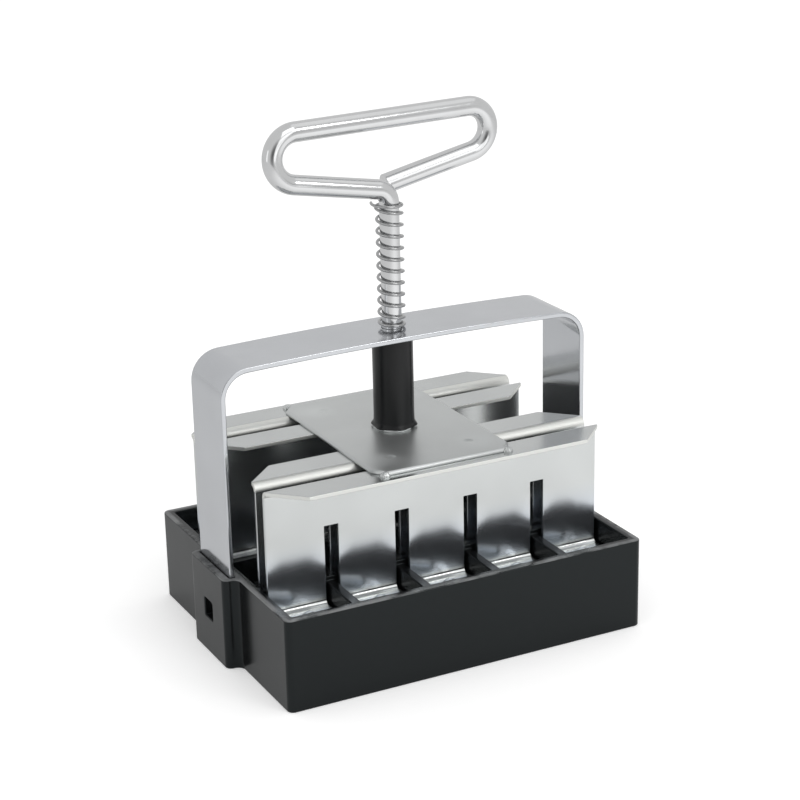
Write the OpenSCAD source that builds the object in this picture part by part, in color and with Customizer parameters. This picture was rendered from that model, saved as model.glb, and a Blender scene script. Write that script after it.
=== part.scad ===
// Hand soil blocker. A moulded block of square cells, open above and below, carries a
// steel strap. A sprung plunger runs through the strap: its four folded sheets push the
// pressed soil cubes out of the cells.
// Millimetres, +Z up, standing on the cell rims. The origin is the centre of the
// underside. X runs along the block and +Y points to the rear.

/* [Cell block] */
// Side of one square cell
cell = 20; // [18:0.5:24]
// Number of cells in a row
columns = 5; // [4:1:7]
// Thickness of the walls between the cells
divider = 3; // [2:0.25:4]
// Thickness of the outer walls
outer_wall = 3; // [2:0.25:4]
// Height of the block
block_h = 28.5; // [25:0.5:31]
// How far the walls between neighbours in a row stop short of the rim
divider_drop = 1.5; // [0.5:0.25:3]
// Radius of the block's upright corners
corner_r = 2; // [1:0.25:3]

/* [Strap sockets] */
// How far a socket stands out from the end wall
socket_out = 4.5; // [4:0.25:7]
// Wall beside each edge of the strap
socket_cheek = 1.45; // [1.25:0.05:3]
// Radius of the socket's outer corners
socket_r = 2; // [1:0.25:3]
// Radius of the fillet between the socket and the end wall
socket_fillet = 2.5; // [0.5:0.25:3]
// Floor left under the strap's end
socket_floor = 3; // [2:0.25:6]
// Side of the square window in the socket's face
window = 6; // [5:0.25:8]
// Height of the window's middle
window_z = 14.6; // [12:0.2:18]

/* [Strap] */
// Width of the strap
strap_w = 22.5; // [18:0.5:28]
// Thickness of the strap
strap_t = 1.6; // [1.2:0.1:2]
// Height of the strap's top face at its middle
strap_top = 92.7; // [86:0.1:110]
// Outer radius of the strap's two bends
strap_bend_r = 9; // [5:0.5:14]
// Degrees by which the slightly crowned top slopes where it meets the bends
strap_slope = 1.95; // [0.5:0.05:4]
// How far the sprung tongue leans out of the leg
tongue_out = 1.9; // [1:0.1:2.2]

/* [Folded sheets] */
// Height of a pressed cube, at which the feet rest
cube_h = 20; // [17:0.5:22]
// Height at which the feet stop with the plunger down
foot_stop = 2; // [1:0.25:5]
// Height of a sheet from its feet to its flange
sheet_h = 40; // [38:0.5:48]
// Thickness of a sheet
sheet_t = 1.2; // [0.8:0.1:1.6]
// Depth of the flange along the top
flange_d = 12; // [9:0.25:13]
// Outer radius of the folds
fold_r = 2.5; // [2:0.1:3.5]
// Gap between the feet and the cell wall in front of them
foot_gap = 0.5; // [0.4:0.1:1.2]
// Gap between a sheet and the cell wall behind it
back_gap = 0.9; // [0.4:0.1:1.2]
// Gap between a foot and the cell walls beside it
side_gap = 0.75; // [0.4:0.05:1.2]

/* [Seed pins] */
// Diameter of a pin's domed head
pin_head_d = 5; // [4:0.25:7]
// Height of a pin's head above its foot
pin_head_h = 2.6; // [1.5:0.1:3.5]
// Diameter of a pin's shank in the foot
pin_shank_d = 3; // [2:0.25:3.5]
// Diameter of the dimple that a pin presses
pin_tip_d = 4.4; // [4:0.1:7]

/* [Bridge plate] */
// Length of the plate along the block
plate_l = 46; // [36:1:60]
// How far the plate reaches past the backs of the outer sheets
plate_reach = 8.6; // [5:0.2:10]
// Thickness of the plate
plate_t = 1.2; // [0.8:0.1:2]
// Length of the plate's cut corners along X
plate_cut_x = 3.5; // [1:0.25:6]
// Length of the plate's cut corners along Y
plate_cut_y = 4.6; // [1:0.2:6]
// Distance of each punched dimple from the middle, along X
dimple_x = 13; // [10:0.5:16]
// Radius of a weld bead
bead_r = 1.5; // [1.3:0.1:2]

/* [Rod and handle] */
// Diameter of the rod
rod_d = 6; // [5:0.25:7]
// Radius of the bend above the spring, along the rod's middle
neck_r = 4.5; // [4.25:0.25:8]
// Width of the handle over its two ends
handle_w = 78.6; // [66:0.2:100]
// Degrees by which the left arm rises from the neck
left_rise = 9.8; // [5:0.2:16]
// Degrees by which the right arm falls to the rod's free end
right_fall = 12.6; // [8:0.2:18]
// Radius of the handle's left end, along the rod's middle
left_r = 7.6; // [6:0.1:10]
// Radius of the handle's right end, along the rod's middle
right_r = 7.1; // [6:0.1:10]
// Degrees by which the grip bar climbs to the right
grip_tilt = 0.5; // [-2:0.1:2]
// Distance of the free end past the stem's axis
free_end_x = 1.9; // [0:0.1:4]

/* [Return spring] */
// Diameter of the spring wire
wire_d = 0.9; // [0.7:0.05:1]
// Length of the spring between the strap and the handle
spring_l = 38.55; // [34:0.25:48]
// Turns between the two closed ends
active_turns = 9.6; // [6:0.1:10]
// Rise of each closed end turn
end_pitch = 1.4; // [1.35:0.05:2]
// Gap between the rod and the coil
coil_gap = 0.35; // [0.35:0.05:0.8]

/* [Sleeve and fasteners] */
// Outer diameter of the sleeve
sleeve_d = 12.4; // [12:0.1:14]
// Bore of the sleeve
sleeve_bore = 9.4; // [8:0.1:10]
// Wall of the sleeve's foot where it is stretched over the nut
foot_wall = 0.75; // [0.6:0.05:1.2]
// Width of the nuts across their flats
nut_af = 10; // [9:0.25:10.5]
// Height of the thin nut inside the sleeve
thin_nut_h = 3.2; // [2.4:0.1:4]
// Height of the nut under the plate
nut_h = 5; // [4:0.25:6]
// Outer diameter of the lock washer
lock_d = 13; // [11:0.25:14]
// Thickness of the lock washer
lock_t = 0.7; // [0.5:0.1:1.8]
// Width of the lock washer's split
lock_split = 2.2; // [0.8:0.1:3]
// Outer diameter of the washer under the plate
washer_d = 12; // [11:0.25:13]
// Thickness of the washer under the plate
washer_t = 1.6; // [1:0.1:2]
// How far the rod stands out under its nut
rod_tail = 1.9; // [1:0.1:2.5]

/* [Hidden] */

$fn = 64;
rows = 4;
over = 1;             // how far a cutting tool runs past what it cuts
run_gap = 0.1;        // radial running clearance of the rod in the strap
thread_gap = 0.05;    // radial clearance of nuts and washers on the rod
rivet_gap = 0.05;     // radial clearance of a seed pin in its foot
strap_play = 0.3;     // clearance of the strap's edges in the socket
leg_gap = 0.1;        // clearance between the strap's leg and the end wall
leg_play = 0.25;      // clearance between the leg and the socket's outer wall
stop_gap = 0.3;       // clearance between stops that meet on different bodies
seat_gap = 0.05;      // clearance under the spring

// Cell block
pitch = cell + divider;
inner_l = columns * pitch - divider;
inner_w = rows * pitch - divider;
block_l = inner_l + 2 * outer_wall;
block_w = inner_w + 2 * outer_wall;
divider_top = block_h - divider_drop;

// Strap and sockets
leg_in = block_l / 2 + leg_gap;
leg_out = leg_in + strap_t;
pocket_out = leg_out + leg_play;
pocket_w = strap_w + 2 * strap_play;
socket_w = pocket_w + 2 * socket_cheek;
leg_foot = socket_floor + 0.2;
tongue_w = window - 1;
tongue_z0 = window_z - window / 2 + 0.3;
tongue_z1 = window_z + window / 2 - 0.4;
tongue_slot = 0.15;   // width of the cut along each edge of the tongue
strap_under = strap_top - strap_t;

// Plunger
stroke = cube_h - foot_stop;
slot_top = divider_top + stroke + stop_gap;
slot_w = divider + 2 * side_gap;
sheet_l = inner_l - 2 * side_gap;
foot_d = cell - foot_gap - back_gap;
inner_back = pitch - divider / 2 - back_gap;
outer_back = pitch + divider / 2 + back_gap;
flange_cut = flange_d - fold_r;
pin_y = cell / 2 - back_gap;            // from a sheet's back to the middle of its cells
pin_tip_l = foot_stop - stop_gap;       // the tips end just above what the block stands on
plate_z = cube_h + sheet_h;
plate_top = plate_z + plate_t;
plate_w = 2 * (outer_back + plate_reach);
dimple_r = 4.8;
dimple_depth = 0.35;

// Fasteners, from the rod's lower end up
washer_z = plate_z - washer_t;
nut_z = washer_z - nut_h;
rod_foot = nut_z - rod_tail;
lock_top = plate_top + lock_t;
sleeve_top = strap_under - stop_gap;
nut_corner_d = nut_af / cos(30);
foot_bore = nut_corner_d + 2 * thread_gap;
nest_top = lock_top + thin_nut_h + stop_gap;
flare_d = foot_bore + 2 * foot_wall;

// Spring
rod_r = rod_d / 2;
wire_r = wire_d / 2;
coil_r = rod_r + coil_gap + wire_r;
spring_z0 = strap_top + seat_gap + wire_r;
spring_z1 = spring_z0 + spring_l - wire_d;
spring_turns = active_turns + 2;
active_pitch = (spring_z1 - spring_z0 - 2 * end_pitch) / active_turns;
spring_start = 97;    // bearing of the wire's lower end
turn_rings = 8;
wire_sides = 6;

// Handle. The neck's inner curve passes the top of the coil with stop_gap to spare.
neck_reach = neck_r - rod_r - stop_gap - wire_r;
neck_z = spring_z1 - sqrt(max(0, pow(neck_reach, 2) - pow(neck_r - coil_r, 2)));
end_gap = 0.2;        // gap between the free end and the neck that it lies behind
rod_sides = 24;
bend_step = 10;       // degrees between two rings of a bend

function unit(v) = v / norm(v);

// A regular ring of points about p, square to the direction t
function ring(p, t, side, r, sides) =
    let (u = unit(cross(t, side)), w = cross(u, t))
    [for (k = [0:sides - 1]) p + r * (cos(360 * k / sides) * u + sin(360 * k / sides) * w)];

// Direction of a path at its point i
function heading(path, i) =
    unit(path[min(i + 1, len(path) - 1)] - path[max(i - 1, 0)]);

// Length of a path up to its point i
function run_to(path, i) = i == 0 ? 0 : run_to(path, i - 1) + norm(path[i] - path[i - 1]);

// Points of an arc in the XZ plane, from angle a0 to a1
function arc(cx, cz, r, a0, a1) =
    let (n = ceil(abs(a1 - a0) / bend_step))
    [for (i = [0:n]) let (a = a0 + (a1 - a0) * i / n) [cx + r * cos(a), 0, cz + r * sin(a)]];

// A closed tube along a path; side is a direction that the path never takes
module tube(path, side, r, sides) {
    rings = len(path);
    last = (rings - 1) * sides;
    points = [for (i = [0:rings - 1]) each ring(path[i], heading(path, i), side, r, sides)];
    walls = [
        for (i = [0:rings - 2]) for (k = [0:sides - 1])
            let (a = i * sides + k, b = i * sides + (k + 1) % sides)
            each [[a, b, b + sides], [a, b + sides, a + sides]]
    ];
    ends = [
        for (k = [1:sides - 2]) each [[0, k + 1, k], [last, last + k, last + k + 1]]
    ];
    polyhedron(points, concat(walls, ends));
}

// Rectangle about the origin with rounded corners
module rounded(l, w, r) {
    square([l - 2 * r, w], center = true);
    square([l, w - 2 * r], center = true);
    for (x = [-1, 1]) for (y = [-1, 1]) translate([x * (l / 2 - r), y * (w / 2 - r)]) circle(r);
}

// ---- Cell block ----

// Outline of one socket, at the +X end
module socket_outline() {
    fillet = min(socket_fillet, socket_out - socket_r);
    wall_x = block_l / 2;
    intersection() {
        translate([wall_x, 0]) rounded(2 * socket_out, socket_w, socket_r);
        translate([wall_x - 0.5, -socket_w]) square([socket_out + over, 2 * socket_w]);
    }
    for (y = [-1, 1]) difference() {
        translate([wall_x - 0.5, y > 0 ? socket_w / 2 - 0.5 : -socket_w / 2 - fillet])
            square([fillet + 0.5, fillet + 0.5]);
        translate([wall_x + fillet, y * (socket_w / 2 + fillet)]) circle(fillet);
    }
}

// What the strap's leg and its tongue need inside a socket
module socket_room() {
    translate([block_l / 2, -pocket_w / 2, socket_floor])
        cube([pocket_out - block_l / 2, pocket_w, block_h]);
    translate([pocket_out - 0.5, -window / 2, window_z - window / 2])
        cube([socket_out + over, window, window]);
}

module mould_tray() {
    color([0.17, 0.18, 0.19]) difference() {
        linear_extrude(block_h) {
            rounded(block_l, block_w, corner_r);
            for (side = [0, 1]) mirror([side, 0]) socket_outline();
        }
        for (r = [0:rows - 1]) {
            row_y = -inner_w / 2 + r * pitch;
            for (c = [0:columns - 1])
                translate([-inner_l / 2 + c * pitch, row_y, -over]) cube([cell, cell, block_h + 2 * over]);
            translate([-inner_l / 2, row_y, divider_top]) cube([inner_l, cell, divider_drop + over]);
        }
        for (side = [0, 1]) mirror([side, 0, 0]) socket_room();
    }
}

// ---- Strap ----

crown_r = (leg_out - strap_bend_r) / sin(strap_slope) + strap_bend_r;
crown_z = strap_top - crown_r;
bend_x = leg_out - strap_bend_r;
bend_z = crown_z + (crown_r - strap_bend_r) * cos(strap_slope);

// One face of the strap, depth below its outer face, from the left foot to the right
function strap_face(depth) = concat(
    [[-leg_out + depth, leg_foot]],
    [for (a = [0:10]) let (t = 180 - (90 - strap_slope) * a / 10)
        [-bend_x + (strap_bend_r - depth) * cos(t), bend_z + (strap_bend_r - depth) * sin(t)]],
    [for (a = [1:15]) let (t = 90 + strap_slope * (1 - a / 8))
        [(crown_r - depth) * cos(t), crown_z + (crown_r - depth) * sin(t)]],
    [for (a = [0:10]) let (t = (90 - strap_slope) * (1 - a / 10))
        [bend_x + (strap_bend_r - depth) * cos(t), bend_z + (strap_bend_r - depth) * sin(t)]],
    [[leg_out - depth, leg_foot]]
);

// A shape drawn in X and Z, made w wide about Y = 0
module across(w) {
    rotate([90, 0, 0]) translate([0, 0, -w / 2]) linear_extrude(w) children();
}

// The tongue, its top leaning out of the leg
module tongue_outline() {
    root = tongue_z0 - 0.5;
    polygon([
        [leg_in, root], [leg_out, root], [leg_out, tongue_z0],
        [leg_out + tongue_out, tongue_z1], [leg_in + tongue_out, tongue_z1], [leg_in, tongue_z0]
    ]);
}

module strap_handle() {
    face = strap_face(0);
    back = strap_face(strap_t);
    last = len(back) - 1;
    color([0.75, 0.76, 0.78]) {
        difference() {
            across(strap_w) polygon(concat(face, [for (i = [0:last]) back[last - i]]));
            translate([0, 0, strap_under - over]) cylinder(r = rod_r + run_gap, h = strap_t + 2 * over);
            for (side = [0, 1]) mirror([side, 0, 0])
                translate([leg_in - over, -tongue_w / 2 - tongue_slot, tongue_z0])
                    cube([strap_t + 2 * over, tongue_w + 2 * tongue_slot, tongue_z1 - tongue_z0 + stop_gap]);
        }
        for (side = [0, 1]) mirror([side, 0, 0]) across(tongue_w) tongue_outline();
    }
}

// ---- Return spring ----

// Height of the wire's middle after n turns: closed turn, active turns, closed turn
function wire_z(n) =
    n < 1 ? spring_z0 + end_pitch * n :
    n > 1 + active_turns ? spring_z1 - end_pitch * (spring_turns - n) :
    spring_z0 + end_pitch + active_pitch * (n - 1);

// The coil is left-handed: it turns clockwise, seen from above, as it climbs
function wire_at(n) =
    let (a = spring_start - 360 * n)
    [coil_r * cos(a), coil_r * sin(a), wire_z(n)];

// Level direction of the wire after n turns
function wire_way(n) = let (a = spring_start - 360 * n) [sin(a), -cos(a), 0];

wire_rings = ceil(spring_turns * turn_rings);
wire_path = concat(
    [wire_at(0) - wire_d * wire_way(0)],
    [for (i = [0:wire_rings]) wire_at(spring_turns * i / wire_rings)],
    [wire_at(spring_turns) + wire_d * wire_way(spring_turns)]
);
wire_count = len(wire_path);
self_gap = min([
    for (i = [0:wire_count - 1]) for (j = [i + turn_rings / 2:1:wire_count - 1])
        norm(wire_path[i] - wire_path[j])
]) - wire_d;
echo(spring_turns = spring_turns, active_pitch = active_pitch, least_gap_to_itself = self_gap);

module return_spring() {
    color([0.55, 0.56, 0.58]) tube(wire_path, [0, 0, 1], wire_r, wire_sides);
}

// ---- Rod and loop handle ----

// Neck
neck = arc(-neck_r, neck_z, neck_r, 0, 90 - left_rise);
neck_end = neck[len(neck) - 1];
// Left end: the arm meets its bend at left_foot
left_x = -(handle_w / 2 - rod_r - left_r);
left_foot_x = left_x - left_r * sin(left_rise);
left_foot_z = neck_end.z + (neck_end.x - left_foot_x) * tan(left_rise);
left_z = left_foot_z + left_r * cos(left_rise);
// Grip bar
grip_x0 = left_x - left_r * sin(grip_tilt);
grip_z0 = left_z + left_r * cos(grip_tilt);
// Right end and the arm that runs down to the free end
right_x = handle_w / 2 - rod_r - right_r;
grip_x1 = right_x - right_r * sin(grip_tilt);
grip_z1 = grip_z0 + (grip_x1 - grip_x0) * tan(grip_tilt);
right_z = grip_z1 - right_r * cos(grip_tilt);
right_foot_x = right_x + right_r * sin(right_fall);
right_foot_z = right_z - right_r * cos(right_fall);
free_end_z = right_foot_z - (right_foot_x - free_end_x) * tan(right_fall);

flat_path = concat(
    neck,
    arc(left_x, left_z, left_r, 270 - left_rise, 90 + grip_tilt),
    arc(right_x, right_z, right_r, 90 + grip_tilt, right_fall - 90),
    [[free_end_x, 0, free_end_z]]
);
loop_l = run_to(flat_path, len(flat_path) - 1);
// The loop drifts to the rear along its length, so that it closes behind its own neck
function drift(s) = (rod_d + end_gap) * s * s * (3 - 2 * s);
loop_path = concat(
    [[0, 0, neck_z - 1]],
    [for (i = [0:len(flat_path) - 1])
        flat_path[i] + [0, drift(run_to(flat_path, i) / loop_l), 0]]
);

module loop_handle() {
    chamfer = 0.8;
    color([0.80, 0.81, 0.83]) {
        translate([0, 0, rod_foot]) rotate_extrude() polygon([
            [0, 0], [rod_r - chamfer, 0], [rod_r, chamfer],
            [rod_r, neck_z - rod_foot], [0, neck_z - rod_foot]
        ]);
        tube(loop_path, [0, 1, 0], rod_r - 0.02, rod_sides);
    }
}

// ---- Sleeve, nuts and washers ----

module spacer_sleeve() {
    r = sleeve_d / 2;
    color([0.12, 0.13, 0.13]) rotate_extrude() polygon([
        [foot_bore / 2, lock_top], [flare_d / 2, lock_top], [flare_d / 2, lock_top + 1],
        [r, nest_top + 0.7], [r, sleeve_top - 0.3], [r - 0.3, sleeve_top],
        [sleeve_bore / 2, sleeve_top], [sleeve_bore / 2, nest_top], [foot_bore / 2, nest_top]
    ]);
}

// Hexagonal nut standing on z = 0, its corners turned off above and below
module nut(h) {
    corner_h = 0.12 * nut_af / 2;
    difference() {
        intersection() {
            cylinder(d = nut_corner_d, h = h, $fn = 6);
            rotate_extrude() polygon([
                [0, 0], [nut_af / 2 - 0.2, 0], [nut_corner_d / 2, corner_h],
                [nut_corner_d / 2, h - corner_h], [nut_af / 2 - 0.2, h], [0, h]
            ]);
        }
        translate([0, 0, -over]) cylinder(r = rod_r + thread_gap, h = h + 2 * over);
    }
}

module washer(d, t) {
    difference() {
        cylinder(d = d, h = t);
        translate([0, 0, -over]) cylinder(r = rod_r + thread_gap, h = t + 2 * over);
    }
}

module thin_nut() {
    color([0.72, 0.73, 0.74]) translate([0, 0, lock_top]) nut(thin_nut_h);
}

module lock_washer() {
    color([0.80, 0.81, 0.82]) translate([0, 0, plate_top]) difference() {
        washer(lock_d, lock_t);
        rotate([0, 0, -55]) translate([0, -lock_split / 2, -over])
            cube([lock_d, lock_split, lock_t + 2 * over]);
    }
}

module plate_washer() {
    color([0.72, 0.73, 0.74]) translate([0, 0, washer_z]) washer(washer_d, washer_t);
}

module rod_nut() {
    color([0.72, 0.73, 0.74]) translate([0, 0, nut_z]) nut(nut_h);
}

// ---- Bridge plate ----

module plate_outline() {
    l = plate_l / 2;
    w = plate_w / 2;
    polygon([
        [-l, -w + plate_cut_y], [-l + plate_cut_x, -w], [l - plate_cut_x, -w], [l, -w + plate_cut_y],
        [l, w - plate_cut_y], [l - plate_cut_x, w], [-l + plate_cut_x, w], [-l, w - plate_cut_y]
    ]);
}

module bridge_plate() {
    color([0.70, 0.72, 0.73]) translate([0, 0, plate_z]) difference() {
        linear_extrude(plate_t) plate_outline();
        translate([0, 0, -over]) cylinder(r = rod_r + thread_gap, h = plate_t + 2 * over);
        for (x = [-1, 1]) for (y = [-1, 1])
            translate([x * dimple_x, y * pitch, plate_t + dimple_r - dimple_depth]) sphere(dimple_r);
    }
}

// Four beads that tie the plate's corners to the outer flanges
module bridge_welds() {
    x = plate_l / 2 - plate_cut_x + 0.5 * bead_r;
    y = plate_w / 2 - 0.15 * bead_r;
    color([0.78, 0.79, 0.80]) difference() {
        for (i = [-1, 1]) for (j = [-1, 1]) translate([i * x, j * y, plate_z]) sphere(bead_r, $fn = 32);
        translate([0, 0, plate_z]) linear_extrude(plate_t) plate_outline();
        translate([-plate_l, -plate_w, plate_z - 2 * bead_r]) cube([2 * plate_l, 2 * plate_w, 2 * bead_r]);
    }
}

// ---- Folded sheets ----

// Section of a sheet: back at x = 0, flange and feet towards +x, feet at y = 0
module sheet_outline() {
    translate([0, fold_r]) square([sheet_t, sheet_h - 2 * fold_r]);
    translate([fold_r, 0]) square([foot_d - fold_r, sheet_t]);
    translate([fold_r, sheet_h - sheet_t]) square([flange_d - fold_r, sheet_t]);
    for (top = [0, 1]) translate([0, top * sheet_h]) mirror([0, top]) difference() {
        translate([fold_r, fold_r]) circle(fold_r);
        translate([fold_r, fold_r]) circle(fold_r - sheet_t);
        translate([fold_r, -over]) square([fold_r + over, 2 * fold_r + 2 * over]);
        translate([-over, fold_r]) square([2 * fold_r + 2 * over, fold_r + over]);
    }
}

// A sheet whose back lies at y = back; towards is -1 for feet that point to the front
module sheet(back, towards) {
    color([0.78, 0.79, 0.80]) translate([0, back, cube_h]) mirror([0, towards < 0 ? 1 : 0, 0])
        difference() {
            translate([-sheet_l / 2, 0, 0]) rotate([90, 0, 90]) linear_extrude(sheet_l) sheet_outline();
            for (c = [1:columns - 1])
                translate([-inner_l / 2 + c * pitch - divider / 2 - slot_w / 2, -over, -over])
                    cube([slot_w, foot_d + 2 * over, slot_top - cube_h + over]);
            for (c = [0:columns - 1])
                translate([middle_of(c, columns), pin_y, -over])
                    cylinder(r = pin_shank_d / 2 + rivet_gap, h = sheet_t + 2 * over);
            for (side = [0, 1]) mirror([side, 0, 0])
                translate([sheet_l / 2, flange_d, sheet_h - fold_r]) rotate([0, 0, 45])
                    cube([flange_cut * sqrt(2), flange_cut * sqrt(2), 4 * fold_r], center = true);
        }
}

module ejector_front() {
    sheet(-outer_back, -1);
}

module ejector_mid_front() {
    sheet(-inner_back, 1);
}

module ejector_mid_rear() {
    sheet(inner_back, -1);
}

module ejector_rear() {
    sheet(outer_back, 1);
}

// Where the middle of copy i of a row of n cells lies
function middle_of(i, n) = (i - (n - 1) / 2) * pitch;

// Cap of a ball on z = 0, d wide at its foot and h high
module dome(d, h) {
    ball_r = (d * d / 4 + h * h) / (2 * h);
    intersection() {
        translate([0, 0, h - ball_r]) sphere(ball_r, $fn = 24);
        cylinder(r = ball_r + over, h = h + over, $fn = 24);
    }
}

// A pin whose shank fills a foot from z = 0 up; its tip below makes the seed's dimple
module seed_pin() {
    cylinder(d = pin_shank_d, h = sheet_t, $fn = 24);
    translate([0, 0, sheet_t]) dome(pin_head_d, pin_head_h);
    mirror([0, 0, 1]) dome(pin_tip_d, pin_tip_l);
}

module seed_pins() {
    color([0.76, 0.77, 0.78]) for (r = [0:rows - 1]) for (c = [0:columns - 1])
        translate([middle_of(c, columns), middle_of(r, rows), cube_h]) seed_pin();
}

mould_tray();
strap_handle();
return_spring();
loop_handle();
spacer_sleeve();
thin_nut();
lock_washer();
bridge_plate();
bridge_welds();
ejector_front();
ejector_mid_front();
ejector_mid_rear();
ejector_rear();
seed_pins();
plate_washer();
rod_nut();
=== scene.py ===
"""Looks of a hand soil blocker: a moulded cell block, a latched strap and a sprung plunger.

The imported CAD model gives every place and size. Each class below dresses one
sub-assembly: it carries over the CAD pieces whose shape is right with rounded edges,
or works out a finer surface from a formula, and gives it a procedural finish.
Lengths are in millimetres until a mesh is made. The floor and the soft boxes are given
in metres, and so are the units of the noise patterns.
"""
import logging
import math
from collections.abc import Mapping, Sequence
from dataclasses import dataclass, field
from enum import Enum

import bmesh
import bpy
import numpy as np
from mathutils import Matrix, Vector


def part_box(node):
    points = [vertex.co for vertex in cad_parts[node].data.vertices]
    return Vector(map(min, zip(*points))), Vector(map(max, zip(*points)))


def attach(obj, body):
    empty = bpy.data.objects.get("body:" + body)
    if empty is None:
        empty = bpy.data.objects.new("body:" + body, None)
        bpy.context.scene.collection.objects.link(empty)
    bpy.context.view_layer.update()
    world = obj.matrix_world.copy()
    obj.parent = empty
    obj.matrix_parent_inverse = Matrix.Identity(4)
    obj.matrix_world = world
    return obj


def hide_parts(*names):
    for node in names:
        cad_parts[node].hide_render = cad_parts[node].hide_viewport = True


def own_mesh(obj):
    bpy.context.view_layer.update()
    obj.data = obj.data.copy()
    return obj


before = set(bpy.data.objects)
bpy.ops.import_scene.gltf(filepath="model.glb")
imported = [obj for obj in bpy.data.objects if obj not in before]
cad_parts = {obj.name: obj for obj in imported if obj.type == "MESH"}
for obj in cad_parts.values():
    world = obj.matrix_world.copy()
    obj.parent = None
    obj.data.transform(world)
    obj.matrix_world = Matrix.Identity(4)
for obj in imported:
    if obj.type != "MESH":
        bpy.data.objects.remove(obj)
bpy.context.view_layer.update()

MM = 0.001
Array = np.ndarray
WHITE = (1.0, 1.0, 1.0, 1.0)
log = logging.getLogger("soil_blocker")


class Body(Enum):
    """The two bodies that pieces ride on."""

    MOULD = "mould"
    PLUNGER = "plunger"


class Slot(Enum):
    """Material slots of the record."""

    MOULDING = "black_moulding"
    STRAP = "zinc_strap"
    WIRE = "spring_wire"
    ROD = "bright_rod"
    HOSE = "black_hose"
    FASTENER = "zinc_fastener"
    SHEET = "zinc_sheet"
    WELD = "weld_bead"


# ---------------------------------------------------------------- shader bench


class Value:
    """A shader socket that Python's operators work on."""

    def __init__(self, bench: "Bench", socket: bpy.types.NodeSocket) -> None:
        """Wraps a socket.

        Args:
            bench: the bench whose tree holds the socket.
            socket: an output socket.
        """
        self.bench = bench
        self.socket = socket

    def _math(self, operation: str, first: "Value | float", second: "Value | float") -> "Value":
        """Adds a Math node on two values."""
        node = self.bench.add("ShaderNodeMath", {"operation": operation}, {0: first, 1: second})
        return self.bench.value(node)

    def __add__(self, other: "Value | float") -> "Value":
        """self + other."""
        return self._math("ADD", self, other)

    def __sub__(self, other: "Value | float") -> "Value":
        """self - other."""
        return self._math("SUBTRACT", self, other)

    def __rsub__(self, other: "Value | float") -> "Value":
        """other - self."""
        return self._math("SUBTRACT", other, self)

    def __mul__(self, other: "Value | float") -> "Value":
        """self * other."""
        return self._math("MULTIPLY", self, other)

    def __truediv__(self, other: "Value | float") -> "Value":
        """self / other."""
        return self._math("DIVIDE", self, other)

    def __pow__(self, other: "Value | float") -> "Value":
        """self ** other."""
        return self._math("POWER", self, other)

    def at_most(self, other: "Value | float") -> "Value":
        """The smaller of self and other."""
        return self._math("MINIMUM", self, other)

    def at_least(self, other: "Value | float") -> "Value":
        """The larger of self and other."""
        return self._math("MAXIMUM", self, other)

    def share(self) -> "Value":
        """self, kept between 0 and 1."""
        return self.at_least(0.0).at_most(1.0)

    def distance(self, period: float) -> "Value":
        """How far self is from the nearest multiple of a period."""
        return self._math("PINGPONG", self, period / 2.0)

    __radd__ = __add__
    __rmul__ = __mul__


@dataclass(frozen=True)
class Grain:
    """A noise pattern.

    Its fields are how many units a metre holds along each axis, how often the pattern
    repeats in a unit, how many finer layers it has and how much they weigh.
    """

    stretch: tuple[float, float, float] = (1.0, 1.0, 1.0)
    scale: float = 1.0
    detail: float = 3.0
    weight: float = 0.5


@dataclass(frozen=True)
class Relief:
    """How deep a bump goes, in millimetres, and how much of its tilt is kept."""

    depth: float
    strength: float = 1.0


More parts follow.
